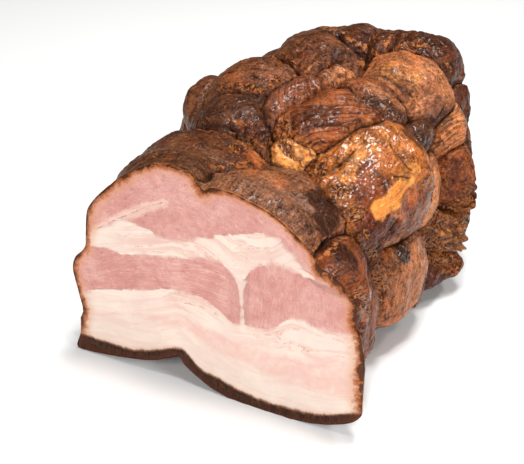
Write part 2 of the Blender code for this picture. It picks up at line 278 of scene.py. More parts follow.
# Colours of the crust
CRUST_COLOURS = {
    "black brown": (0.03, 0.009, 0.004),
    "dark brown": (0.07, 0.025, 0.011),
    "umber": (0.078, 0.026, 0.01),
    "olive brown": (0.085, 0.031, 0.013),
    "grey brown": (0.165, 0.066, 0.032),
    "warm brown": (0.135, 0.049, 0.021),
    "light brown": (0.26, 0.096, 0.038),
    "russet": (0.175, 0.052, 0.018),
    "clay": (0.15, 0.052, 0.026),
    "red brown": (0.066, 0.02, 0.009),
    # painted reflection: the grey of a soft light's sheen, painted into the colour
    "painted sheen grey": (0.25, 0.13, 0.088),
    "chestnut": (0.13, 0.034, 0.01),
    "dark red": (0.075, 0.015, 0.005),
    "pale fawn": (0.43, 0.168, 0.066),
    "honey": (0.38, 0.14, 0.036),
    "sand": (0.31, 0.114, 0.046),
    "walnut": (0.1, 0.034, 0.014),
    "ember": (0.205, 0.056, 0.017),
    "rust": (0.23, 0.068, 0.016),
    "amber": (0.3, 0.092, 0.02),
    "bright amber": (0.43, 0.15, 0.034),
    "gold": (0.64, 0.255, 0.062),
    "tan": (0.42, 0.165, 0.044),
    "plum brown": (0.135, 0.036, 0.013),
}

# Stains on the crust, and a painted sheen: angle round the core line, distance from the cut,
# half size across, half size along, tilt, colour, strength, grease
STAINS = {
    "plum patch": (41, 0.065, 0.0095, 0.0105, 0, "plum brown", 0.95, 0.75),
    "golden pillow's foot": (23, 0.057, 0.017, 0.011, 0, "dark red", 0.85, 0.25),
    "golden pillow's side": (15, 0.085, 0.012, 0.013, 0, "plum brown", 0.85, 0.3),
    "tan spot": (76, 0.064, 0.0085, 0.005, 10, "tan", 0.85, 0.5),
    "wet middle": (56, 0.1085, 0.019, 0.005, 150, "dark brown", 0.8, 0.75),
    "wet knuckle": (43, 0.118, 0.011, 0.008, 150, "dark brown", 0.8, 0.9),
    "dark side of the fan": (80, 0.08, 0.01, 0.007, 140, "red brown", 0.8, 0.5),
    "dark meeting": (100, 0.066, 0.011, 0.006, 0, "dark red", 0.85, 0.35),
    "dark low left": (107, 0.076, 0.013, 0.006, 20, "black brown", 0.55, 0.45),
    "rust left": (96, 0.051, 0.008, 0.009, 0, "rust", 0.55, 0.3),
    "rust by the cut": (12, 0.009, 0.008, 0.006, 0, "rust", 0.9, 0.7),
    "wet hole": (3, 0.078, 0.005, 0.005, 0, "black brown", 0.95, 0.9),
    "dark back": (63, 0.16, 0.016, 0.008, 0, "red brown", 0.6, 0.6),
    "dark top": (89, 0.151, 0.014, 0.008, 0, "black brown", 0.6, 0.4),
    "rust side": (-12, 0.133, 0.012, 0.01, 0, "rust", 0.6, 0.5),
    # painted reflection: a grey sheen painted on the pillow, which is also somewhat greasy
    "painted grey sheen": (57, 0.028, 0.02, 0.0062, 165, "painted sheen grey", 0.7, 0.45),
    "pitted side": (80, 0.034, 0.013, 0.008, 0, "light brown", 0.8, 0.15),
    "dark beside the knuckle": (41, 0.1045, 0.0075, 0.0065, 0, "black brown", 0.75, 0.8),
}

# Stripes on the crust: a line of angles and distances, half width, colour, strength, grease
STRIPES = {
    "dark foot": ([(27, 0.049), (21, 0.058), (17, 0.068)], 0.0055, "dark red", 0.92, 0.25),
    "left gold": ([(53, 0.081), (53, 0.073), (50, 0.063), (47, 0.057)], 0.0036, "honey", 1.0, 0.9),
    "right gold": (
        [(34, 0.0885), (33, 0.08), (31, 0.072), (29, 0.065), (28, 0.06)], 0.0042, "gold", 1.0, 0.4,
    ),
    "dark front right": ([(45, 0.038), (38, 0.028), (34, 0.018)], 0.0105, "black brown", 0.95, 0.2),
    "amber flap": ([(51, 0.092), (42, 0.087), (35, 0.086)], 0.0026, "bright amber", 1.0, 0.7),
    "left arcs": ([(58, 0.081), (58, 0.072), (56, 0.062)], 0.0015, "bright amber", 0.8, 0.6),
    "gold top": ([(58, 0.0925), (53, 0.0955)], 0.0022, "honey", 0.5, 0.9),
    "wet middle": ([(62, 0.106), (56, 0.108), (50, 0.115), (45, 0.119)], 0.0042, "dark brown", 0.85, 0.85),
    "light middle": ([(67, 0.113), (60, 0.114), (52, 0.12)], 0.003, "light brown", 0.8, 0.5),
    "tan back": ([(66, 0.133), (60, 0.135)], 0.006, "tan", 0.5, 0.3),
    "dusky back": ([(52, 0.137), (45, 0.136)], 0.0075, "clay", 0.65, 0.4),
}

# Frayed bands along some creases: a line of angles and distances, half width, strength
FRINGES = {
    "golden crease": (
        [(81, 0.062), (73, 0.06), (65, 0.0625), (57, 0.0565), (48, 0.0525), (34, 0.048)], 0.0034, 1.0,
    ),
    "beside the cut": ([(15, 0.003), (11, 0.008), (5, 0.013)], 0.0034, 0.9),
    "meeting": ([(99, 0.042), (99, 0.056), (98, 0.066), (90, 0.066), (81, 0.062)], 0.0026, 0.8),
    "top of the fan": ([(103, 0.1), (96, 0.104), (90, 0.103), (84, 0.107), (73, 0.105)], 0.0015, 0.8),
    "band side": ([(96, 0.083), (94, 0.08), (86, 0.073)], 0.002, 0.8),
    "under the golden": ([(26, 0.048), (17, 0.052), (6, 0.061)], 0.0022, 0.6),
    "right of the golden": ([(28, 0.103), (18, 0.1), (8, 0.1), (0, 0.104)], 0.0022, 0.9),
    "behind the big one": ([(75, 0.15), (66, 0.16), (52, 0.164), (44, 0.16)], 0.002, 0.7),
    "behind the left ones": ([(118, 0.09), (107, 0.091), (104, 0.101)], 0.0018, 0.6),
    "low side": ([(-4, 0.06), (-14, 0.062), (-24, 0.06)], 0.0022, 0.8),
}

# Folds in the crust: a line of angles and distances, depth, half width
FOLDS = {
    "behind the long one": ([(75, 0.1281), (67, 0.1256), (59, 0.1243), (51, 0.1248)], 0.0024, 0.0012),
    "before the long one": (
        [(84, 0.1105), (73, 0.1068), (67, 0.1065), (62, 0.1065), (54, 0.1076)], 0.0016, 0.001,
    ),
    "outer arc": ([(55, 0.079), (56, 0.075), (56, 0.067), (55, 0.061)], 0.0012, 0.0009),
    "gold edge": ([(47, 0.072), (48, 0.069), (48, 0.065), (45, 0.06), (44, 0.0555)], 0.0008, 0.0006),
    "notch": ([(37, 0.078), (36, 0.08), (33, 0.086)], 0.002, 0.0009),
    "flap edge": ([(50, 0.091), (45, 0.0885), (40, 0.0878), (35, 0.0895)], 0.0016, 0.0009),
    "diagonal": ([(33, 0.0725), (32, 0.0655), (31, 0.06), (32, 0.054)], 0.0012, 0.0007),
    "side fold": ([(44, 0.142), (42, 0.135), (44, 0.131)], 0.0014, 0.001),
    "back groove": ([(72, 0.164), (66, 0.157), (62, 0.171)], 0.0012, 0.001),
    "second back groove": ([(70, 0.17), (62, 0.163), (56, 0.172)], 0.0012, 0.001),
    "fan line": ([(79, 0.078), (70, 0.084), (62, 0.09)], 0.0007, 0.0006),
    "lower fan line": ([(80, 0.074), (71, 0.079), (62, 0.084)], 0.0007, 0.0006),
    "left wrinkle": ([(136, 0.091), (125, 0.094), (115, 0.092)], 0.0009, 0.0009),
    "low wrinkle": ([(22, 0.071), (15, 0.06), (8, 0.057)], 0.0012, 0.0009),
    "second low wrinkle": ([(-2, 0.09), (-12, 0.084), (-22, 0.086)], 0.001, 0.0009),
    "right wrinkle": ([(20, 0.148), (10, 0.152), (2, 0.149)], 0.001, 0.001),
}


# Small tools and steady noise

def ease(share):
    share = np.clip(share, 0, 1)
    return share * share * (3 - 2 * share)


def read_off(table, at, column=1):
    """A column of a table, read off between its rows, whose first column goes up"""
    rows = np.array(table)
    return np.interp(at, rows[:, 0], rows[:, column])


def add_object(name, data):
    made = bpy.data.objects.new(name, data)
    bpy.context.scene.collection.objects.link(made)
    return made


def lattice(cell, seed):
    """A number from -1 to 1 that belongs to a cell of the lattice"""
    mask = np.uint64(0xFFFFFFFF)
    mixed = cell[..., 0].astype(np.uint64) * np.uint64(374761393)
    mixed = mixed + cell[..., 1].astype(np.uint64) * np.uint64(668265263)
    mixed = mixed + cell[..., 2].astype(np.uint64) * np.uint64(2246822519) + np.uint64(seed * 3266489917)
    mixed = mixed & mask
    mixed = ((mixed ^ (mixed >> np.uint64(15))) * np.uint64(2246822519)) & mask
    mixed = ((mixed ^ (mixed >> np.uint64(13))) * np.uint64(3266489917)) & mask
    return (mixed ^ (mixed >> np.uint64(16))).astype(np.float64) / 0xFFFFFFFF * 2 - 1


def noise(points, size, seed):
    """Smooth noise from -1 to 1, with bumps of a given size, which may differ by direction"""
    spot = points / np.array(size) + 1000.0
    cell = np.floor(spot).astype(np.int64)
    part = ease(spot - cell)
    total = np.zeros(spot.shape[:-1])
    for corner in np.ndindex(2, 2, 2):
        weight = np.prod(np.where(corner, part, 1 - part), axis=-1)
        total = total + weight * lattice(cell + np.array(corner), seed)
    return total * 1.3


def layered_noise(points, size, seed, layers=3):
    total = 0
    for layer in range(layers):
        total = total + noise(points, np.array(size) / 2**layer, seed + 17 * layer) / 2**layer
    return total / 1.6


def patchy(points, size, seed, level, swing):
    """Share from 0 to 1 that differs from place to place"""
    return ease(level + swing * noise(points, size, seed))


def waves(points, sizes_and_heights, seed):
    """Heights of several noises on top of each other"""
    return sum(height * noise(points, size, seed + number)
               for number, (size, height) in enumerate(sizes_and_heights))


def distance_to_line(points, nodes):
    """Distance of each point from a line through nodes"""
    best = np.full(len(points), 1.0)
    for start, end in zip(nodes[:-1], nodes[1:]):
        span = end - start
        share = np.clip((points - start) @ span / (span @ span), 0, 1)
        best = np.minimum(best, np.linalg.norm(points - start - share[:, None] * span, axis=-1))
    return best


# Form

def cut_radius(turn):
    corner = np.array(CUT_OUTLINE)
    following = np.roll(corner, -1, axis=0)
    slope = CUT_TENSION * (following - np.roll(corner, 1, axis=0))
    t = np.linspace(0, 1, 24, endpoint=False)[:, None, None]
    line = (2 * t**3 - 3 * t**2 + 1) * corner + (t**3 - 2 * t**2 + t) * slope
    line = line + (3 * t**2 - 2 * t**3) * following + (t**3 - t**2) * np.roll(slope, -1, axis=0)
    line = line.reshape(-1, 2)
    angle = np.arctan2(line[:, 1] - CORE_Z, line[:, 0])
    order = np.argsort(angle)
    radius = np.hypot(line[:, 0], line[:, 1] - CORE_Z)
    return np.interp(turn, angle[order], radius[order], period=2 * np.pi)


def section_radius(turn, along):
    left, right, top_left, top_right = (read_off(SECTIONS, along, column) for column in range(1, 5))
    across, up = np.cos(turn), np.sin(turn)
    half_width = np.where(across > 0, right, -left)
    top = top_left + (top_right - top_left) * ease((across + 1) / 2) - CORE_Z
    half_height = np.where(up > 0, top, CORE_Z - BASE_Z)
    power = np.where(up > 0, TOP_SQUARENESS, BASE_SQUARENESS)
    radius = (np.abs(across / half_width)**power + np.abs(up / half_height)**power)**(-1 / power)
    off = (radius * across - ARCH_X) / ARCH_WIDTH
    hollow = read_off(ARCH_DEPTHS, along) * np.exp(-off**2) / np.maximum(-up, 0.2)
    return np.where(up < -0.2, radius - hollow, radius)


def core_surface(turn, along):
    lean = np.arcsin(np.clip((along - END_START) / END_REACH, 0, 1))
    blend = ease(along / CUT_BLEND)
    radius = cut_radius(turn) * (1 - blend) + section_radius(turn, along) * blend
    radius = radius * np.cos(lean)**0.6
    across, up = radius * np.cos(turn), radius * np.sin(turn)
    return np.stack([across, along + 0 * turn, CORE_Z + up], axis=-1), lean


def outward(turn, lean):
    flat = np.cos(lean)
    return np.stack([np.cos(turn) * flat, np.sin(lean) + 0 * turn, np.sin(turn) * flat], axis=-1)


def lie_down(points):
    """The slab as it lies: its sections lean to the left and the table is z = 0"""
    lean = np.radians(LEAN)
    x, z = points[:, 0], points[:, 2] - TABLE_Z
    across, up = x * np.cos(lean) - z * np.sin(lean), x * np.sin(lean) + z * np.cos(lean)
    return np.stack([across, points[:, 1], up], axis=-1)


def pillow_frame(turn, along, tilt):
    def at(turn, along):
        return core_surface(np.array(turn), np.array(along))[0]
    round_slab = at(turn + 0.02, along) - at(turn - 0.02, along)
    down_slab = at(turn, along + 0.001) - at(turn, along - 0.001)
    normal = np.cross(down_slab, round_slab)
    normal = normal / np.linalg.norm(normal)
    first = round_slab / np.linalg.norm(round_slab)
    second = np.cross(first, normal)
    turned_first = first * np.cos(tilt) + second * np.sin(tilt)
    turned_second = second * np.cos(tilt) - first * np.sin(tilt)
    return at(turn, along), turned_first, turned_second, normal


def hidden_pillows():
    """Pillows on the left wall and on the back end, from the same seeded draw as in the part's source"""
    draw = np.random.default_rng(HIDDEN_SEED)
    places = []
    for row in range(LEFT_WALL["rows"]):
        shift = LEFT_WALL["stagger"] * (row % 2)
        distance = LEFT_WALL["start"] + row * LEFT_WALL["step"]
        places += [(angle + shift, distance) for angle in LEFT_WALL["angles"]]
    for ring in (BACK_RIM, BACK_END, BACK_MIDDLE):
        places += [(angle, ring["distance"]) for angle in ring["angles"]]
    pillows = []
    for number, (angle, distance) in enumerate(places):
        size = HIDDEN_HALF_SIZE * draw.uniform(0.85, 1.2, 2)
        spread = draw.uniform(-1, 1, 2)
        if distance < END_START:
            distance = distance + 0.003 * spread[1]
        height = HIDDEN_HEIGHT * draw.uniform(0.7, 1.25)
        form = (angle + 4 * spread[0], distance, size[0], size[1], draw.uniform(-30, 30), height)
        colour = HIDDEN_COLOURS[(number * 5) % len(HIDDEN_COLOURS)]
        pillows.append((form, colour, 0.25, 0.5, 37 * number % 90))
    return pillows


def on_surface(angle, distance):
    return core_surface(np.radians(angle), np.array(distance))[0]


def distance_to_places(points, places):
    """Distance from a line on the surface that runs through places given as angle and distance"""
    return distance_to_line(points, [on_surface(*place) for place in places])


def bump_at(points, place, radius):
    """Share from 0 to 1 of a round spot on the surface"""
    return ease(1.4 - np.linalg.norm(points - on_surface(*place), axis=-1) / radius)


def oval_reach(points, oval):
    """Squared distance in an oval on the surface, 1 at its edge, then the height over it and its frame"""
    angle, along, half_first, half_second, tilt = oval
    frame = pillow_frame(np.radians(angle), along, np.radians(tilt))
    u, v, w = ((points - frame[0]) @ axis for axis in frame[1:])
    return (u / half_first)**2 + (v / half_second)**2, w, frame


def pillow_fields(points):
    """Height of the crust, gap to the next pillow, and the finish, at points of the core surface"""
    bent = points.copy()
    for number, (size, reach) in enumerate(BEND):
        for axis in range(3):
            bent[:, axis] += reach * noise(points, size, 100 + 10 * number + axis)
    pillows = list(SHOWN_PILLOWS.values()) + hidden_pillows()
    heights = [np.full(len(points), OPEN_CRUST)]
    frames = [(points[0], *np.eye(3), 0)]
    finish = [(*CRUST_COLOURS["dark brown"], 0.2, 0.4)]
    for (*oval, height), colour, grease, streak, way in pillows:
        reach, off_surface, frame = oval_reach(bent, oval)
        reach = reach + 0.6 * (off_surface / max(oval[2:4]))**2
        heights.append(height * (1 - reach**(PILLOW_POWER / 2)))
        finish.append((*CRUST_COLOURS[colour], grease, streak))
        frames.append((*frame, np.radians(way)))
    heights = np.array(heights)
    owner = heights.argmax(axis=0)
    top_two = np.partition(heights, -2, axis=0)[-2:]
    top, gap = top_two[1], top_two[1] - top_two[0]
    weight = np.exp((heights - top) / PILLOW_BLEND)
    blended = (weight / weight.sum(axis=0)).T @ np.array(finish)
    strand = points.copy()
    for number, (centre, first, second, normal, way) in enumerate(frames):
        mine = owner == number
        off = bent[mine] - centre
        u, v, w = off @ first, off @ second, off @ normal
        turned = [u * np.cos(way) + v * np.sin(way), v * np.cos(way) - u * np.sin(way), w]
        strand[mine] = np.stack(turned, axis=-1)
    colour, grease = stained(points, bent, blended[:, :3], blended[:, 3])
    return top, gap, colour, grease, blended[:, 4], strand


def stained(points, bent, colour, grease):
    """Colour and grease of the crust with its stains and stripes, and a painted sheen"""
    shares = []
    frayed = STAIN_FRAY * layered_noise(points, 0.006, 121, 3)
    for *oval, name, strength, stain_grease in STAINS.values():
        reach, off_surface, _ = oval_reach(bent, oval)
        reach = np.sqrt(reach + (off_surface / STAIN_DEPTH)**2) + frayed
        shares.append((strength * ease((1.25 - reach) / 0.55), name, stain_grease))
    frayed = STAIN_FRAY * layered_noise(points, 0.005, 131, 3)
    for line, half_width, name, strength, stripe_grease in STRIPES.values():
        reach = distance_to_places(bent, line) / half_width + frayed
        shares.append((strength * ease((1.2 - reach) / 0.35), name, stripe_grease))
    for share, name, new_grease in shares:
        colour = colour + (np.array(CRUST_COLOURS[name]) - colour) * share[:, None]
        grease = grease + (new_grease - grease) * share
    return colour, grease


def crust(turn, along):
    """Points of the crust and what the material needs to know at each"""
    points, lean = core_surface(turn, along)
    top, gap, colour, grease, streak, strand = pillow_fields(points)
    size, reach = WAVER
    wavy = points + reach * np.stack([noise(points, size, 44 + axis) for axis in range(3)], axis=-1)

    # Rough and frayed places
    rough = np.zeros(len(points))
    for *place, radius, strength in CRAGS.values():
        rough = np.maximum(rough, strength * bump_at(points, place, radius))
    rough = rough * patchy(points, 0.007, 41, 0.75, 0.6)
    reach, strength = FRINGE
    rough = np.maximum(rough, strength * np.exp(-gap / reach) * patchy(points, 0.01, 42, 0.5, 0.9))
    width, strength = EDGE_FRINGE
    edge = strength * ease(1.4 - along / width) * patchy(points, 0.012, 48, 0.8, 0.8)
    flaky = bump_at(points, FLAKES[:2], FLAKES[2])
    frayed = FLAKES_FRAYED * flaky
    for line, half_width, strength in FRINGES.values():
        frayed = np.maximum(frayed, strength * ease(1.4 - distance_to_places(wavy, line) / half_width))
    frayed = frayed * patchy(points, 0.006, 47, 0.85, 0.8)
    rough = np.maximum(rough, FRAYED_ROUGHNESS * np.maximum(frayed * (1 - flaky), edge))

    # Creases with their lips, and folds
    uneven = CREASE_LEAST + (1 - CREASE_LEAST) * patchy(points, 0.016, 43, 0.55, 0.85)
    # how much of a crease lies at each point; the material paints it as shade and keeps it dry
    crease = np.exp(-gap / CREASE_REACH) * uneven
    relief = top - uneven * (GROOVE[0] * np.exp(-gap / GROOVE[1]) + HOLLOW[0] * np.exp(-gap / HOLLOW[1]))
    lip = np.exp(-((gap - LIP[1]) / LIP[2])**2)
    relief = relief + LIP[0] * lip * (0.6 + noise(points, 0.0035, 51))
    for line, depth, half_width in FOLDS.values():
        groove = np.exp(-(distance_to_places(wavy, line) / half_width)**2)
        relief = relief - depth * groove
        crease = np.maximum(crease, FOLD_SHADE * groove)

    # Lumps, strands and ribs, crags and flakes
    relief = relief + waves(points, LUMPS, 60)
    threads = layered_noise(strand, STRAND_SIZE, 71, 2)
    relief = relief + STRAND_HEIGHT * streak * threads * (0.6 + 0.6 * noise(points, 0.02, 52))
    relief = relief + RIB_HEIGHT * streak * layered_noise(strand, RIB_SIZE, 75, 2)
    crag = 1 - np.abs(layered_noise(points, CRAG_SIZE, 81, 3)) * 2.2
    relief = relief + CRAG_DEPTH * rough * (crag - 0.75)
    level = (points[:, 2] + FLAKE_SLOPE * points[:, 1]) / FLAKE_STEP
    level = level + 0.9 * layered_noise(points, 0.011, 91, 2)
    ledge = level - np.floor(level)
    relief = relief + FLAKE_DEPTH * flaky * (ease(ledge / 0.8) - ease((ledge - 0.8) / 0.2) - 0.35)

    # Flat at the cut and where the slab rests
    relief = relief * ease(along / CUT_FADE + 0.12)
    low, high = TABLE_FADE
    above = ease((lie_down(points)[:, 2] - low) / (high - low))
    relief = relief * above + waves(points, UNDERSIDE_WAVES, 95) * (1 - above)
    points = points + outward(turn, lean) * relief[:, None]
    fields = {
        "tint": colour, "grease": grease, "streak": streak, "strand": strand, "crease": crease,
        "lip": lip, "rough": rough, "frayed": frayed, "edge": edge, "ledge": ledge * flaky, "rind": 1 - above,
    }
    return points, fields


def crowded_turns():
    """Angles round the slab, closer together on the side that the photo shows"""
    share, middle = CROWDING
    even = np.linspace(-np.pi, np.pi, 4001)
    density = 1 + share * np.cos(even - np.radians(middle))
    total = np.concatenate([[0], np.cumsum((density[1:] + density[:-1]) / 2)])
    steps = np.linspace(0, total[-1], AROUND, endpoint=False)
    return np.interp(steps, total, even)


def crust_grid():
    straight = np.linspace(0, END_START, STRAIGHT_RINGS, endpoint=False)
    round_end = END_START + END_REACH * np.sin(np.linspace(0, np.pi / 2, END_RINGS))
    along = np.concatenate([straight, round_end])
    turn, along = np.meshgrid(crowded_turns(), along)
    return turn, along


def cavity(points, shape, reach):
    """How far each point lies under the mean of its neighbours on the grid, in metres"""
    grid = points.reshape(shape + (3,))
    mean = grid.copy()
    for _ in range(reach):
        inner = (np.roll(mean, 1, axis=1) + np.roll(mean, -1, axis=1)) / 4
        before = np.concatenate([mean[:1], mean[:-1]])
        after = np.concatenate([mean[1:], mean[-1:]])
        mean = inner + (before + after) / 4
    around = np.roll(grid, -1, axis=1) - np.roll(grid, 1, axis=1)
    down = np.gradient(grid, axis=0)
    normal = np.cross(around, down)
    length = np.linalg.norm(normal, axis=-1, keepdims=True)
    normal = normal / np.maximum(length, 1e-12)
    return ((mean - grid) * normal).sum(axis=-1).ravel()


def fibre_places(x, z):
    """Places along and across the meat's fibres, which bow in the top lobe and lean in the second lean"""
    bowed_u = BOW_REACH * np.arctan2(z - BOW[1], x - BOW[0])
    bowed_v = np.hypot(x - BOW[0], z - BOW[1])
    slope = np.radians(read_off(FIBRE_SLOPES, x))
    straight_u = x * np.cos(slope) + z * np.sin(slope)
    straight_v = z * np.cos(slope) - x * np.sin(slope)
    upper = ease((z - read_off(LEAN_BASE, x)) / 0.004 + 1)
    u = bowed_u * upper + straight_u * (1 - upper)
    v = bowed_v * upper + straight_v * (1 - upper)
    return np.stack([u, v, 0 * u], axis=-1)


def layer_places(x, z):
    """Places along and across the layers of fat"""
    low, high = read_off(RIND_TOP, x), read_off(SECOND_LEAN_BASE, x)
    top = read_off(LEAN_BASE, x)
    levels = np.where(z < high, (z - low) / (high - low) * LAYER_SCALE, LAYER_SCALE + (z - high))
    levels = np.where(z > top, LAYER_SCALE + (top - high) + (z - top), levels)
    return np.stack([x, levels, 0 * x], axis=-1)


def cut_fields(x, z, rim):
    """Layers of the cut as distances in metres: above 0 inside the lean, inside the blush, over the rind"""
    upper = z - read_off(LEAN_BASE, x)
    lower = np.minimum(read_off(FAT_BASE, x) - z, z - read_off(SECOND_LEAN_BASE, x))
    seam = np.abs(x - read_off(SEAM, z)) - read_off(SEAM, z, 2)
    seam = np.maximum(seam, np.maximum(SEAM[0][0] - z, z - SEAM[-1][0]))
    blush = np.minimum(read_off(BLUSH_TOP, x) - z, z - read_off(BLUSH_BASE, x))
    browned = BARE_BROWNED
    streaky = 0
    for centre_x, centre_z, reach, extra in BROWNED:
        browned = browned + extra * np.exp(-((x - centre_x)**2 + (z - centre_z)**2) / reach**2)
    for centre_x, centre_z, reach in STREAKY:
        streaky = np.maximum(streaky, np.exp(-((x - centre_x)**2 + 4 * (z - centre_z)**2) / reach**2))
    return {
        "fibre": fibre_places(x, z),
        "layer": layer_places(x, z),
        "streaky": streaky,
        "lean": np.maximum(upper, lower),
        "blush": blush,
        "over_rind": z - read_off(RIND_TOP, x),
        "lobe_seam": distance_to_line(np.stack([x, z], axis=-1), np.array(LOBE_SEAM)),
        "seam": seam,
        "rim": rim / browned,
    }


def face_grid(edge_points):
    """Places on the cut face, ring by ring from just inside its edge, and last its middle"""
    step = np.arange(1, FACE_RINGS) / FACE_RINGS
    keep = 1 - (0.45 * step + 0.55 * step**2)[:, None]
    x = edge_points[:, 0] * keep
    z = CORE_Z + (edge_points[:, 2] - CORE_Z) * keep
    return np.append(x, 0), np.append(z, CORE_Z)


def outline_distance(x, z):
    """Distance from the edge of the cut, which counts as one point a degree"""
    turn = np.linspace(-np.pi, np.pi, 361)
    radius = cut_radius(turn)
    best = np.full(x.shape, 1.0)
    for edge_x, edge_z in zip(radius * np.cos(turn), CORE_Z + radius * np.sin(turn)):
        best = np.minimum(best, np.hypot(x - edge_x, z - edge_z))
    return best


def cut_relief(x, z, rim):
    """How far the cut face stands back from the knife's plane"""
    points = np.stack([x, 0 * x, z], axis=-1)
    fields = cut_fields(x, z, rim)
    in_lean = ease(fields["lean"] / 0.0012 + 0.5)
    sunk, grain = LEAN_SUNK
    depth, half_width = LOBE_GROOVE
    back = CUT_STAND_BACK + waves(points, CUT_WAVES, 201)
    back = back + in_lean * (sunk + grain * noise(points, 0.0016, 203))
    back = back + depth * np.exp(-(fields["lobe_seam"] / half_width)**2)
    return back + CUT_EDGE * (1 - ease(rim / CUT_EDGE_WIDTH)) * (1 + 0.5 * noise(points, 0.004, 204))


def ring_band(first_start, second_start):
    """Faces between two rings of points, each given by the number of its first point"""
    columns = np.arange(AROUND)
    following = (columns + 1) % AROUND
    first, second = first_start + columns, second_start + columns
    return np.stack([first, second, second_start + following, first_start + following], axis=1)


def slab_faces(crust_rings):
    """Faces of the crust, the four-sided faces of the cut and the fan round the cut's middle"""
    crust_starts = np.arange(crust_rings) * AROUND
    cut_starts = np.append(0, (crust_rings + np.arange(FACE_RINGS - 1)) * AROUND)
    crust_faces = [ring_band(ring, after) for ring, after in zip(crust_starts[:-1], crust_starts[1:])]
    cut_faces = [ring_band(inner, outer) for outer, inner in zip(cut_starts[:-1], cut_starts[1:])]
    innermost = cut_starts[-1] + np.arange(AROUND)
    middle = np.full(AROUND, cut_starts[-1] + AROUND)
    fan = np.stack([innermost, np.roll(innermost, -1), middle], axis=1)
    return np.concatenate(crust_faces), np.concatenate(cut_faces), fan


def make_mesh(name, points, crust_faces, cut_faces, fan):
    """A smooth mesh whose crust has the first material and whose cut has the second"""
    corners = np.concatenate([crust_faces.ravel(), cut_faces.ravel(), fan.ravel()])
    quads = len(crust_faces) + len(cut_faces)
    sizes = np.concatenate([np.full(quads, 4), np.full(len(fan), 3)])
    slots = np.ones(len(sizes), dtype=int)
    slots[:len(crust_faces)] = 0
    mesh = bpy.data.meshes.new(name)
    mesh.vertices.add(len(points))
    mesh.vertices.foreach_set("co", points.ravel())
    mesh.loops.add(len(corners))
    mesh.loops.foreach_set("vertex_index", corners)
    mesh.polygons.add(len(sizes))
    mesh.polygons.foreach_set("loop_start", np.concatenate([[0], np.cumsum(sizes)[:-1]]))
    mesh.polygons.foreach_set("loop_total", sizes)
    mesh.polygons.foreach_set("material_index", slots)
    mesh.update(calc_edges=True)
    mesh.validate()
    mesh.polygons.foreach_set("use_smooth", np.ones(len(mesh.polygons), dtype=bool))
    return mesh


def build_slab():
    turn, along = crust_grid()
    points, fields = crust(turn.ravel(), along.ravel())
    fields["cavity"] = cavity(points, turn.shape, CAVITY_REACH)
    edge = points[:AROUND]
    x, z = face_grid(edge)
    rim = np.append(outline_distance(x[:-1], z[:-1]), MIDDLE_RIM)
    face_points = np.stack([x, cut_relief(x, z, rim), z], axis=-1)
    edge[:, 1] += CUT_EDGE * (1.3 + 0.6 * noise(edge, 0.004, 204))

    everything = np.concatenate([points, face_points])
    lying = lie_down(everything) - np.array([MIDDLE_X, MIDDLE_Y, 0])
    lying[:, 2] = np.maximum(lying[:, 2], 0)
    mesh = make_mesh("pork_belly_slab", lying, *slab_faces(len(turn)))

    for name, values in fields.items():
        on_cut = np.zeros((len(face_points),) + values.shape[1:])
        write_attribute(mesh, name, np.concatenate([values, on_cut]))
    all_rim = np.concatenate([np.zeros(len(points)), rim])
    for name, values in cut_fields(everything[:, 0], everything[:, 2], all_rim).items():
        in_mm = name not in ("streaky", "fibre", "layer")
        write_attribute(mesh, name, values * 1000 if in_mm else values)
    return add_object("pork_belly_slab", mesh)


def write_attribute(mesh, name, values):
    if values.ndim == 1:
        mesh.attributes.new(name, "FLOAT", "POINT").data.foreach_set("value", values)
    elif name == "tint":
        rgba = np.concatenate([values, np.ones((len(values), 1))], axis=1)
        mesh.attributes.new(name, "FLOAT_COLOR", "POINT").data.foreach_set("color", rgba.ravel())
    else:
        mesh.attributes.new(name, "FLOAT_VECTOR", "POINT").data.foreach_set("vector", values.ravel())


# Materials

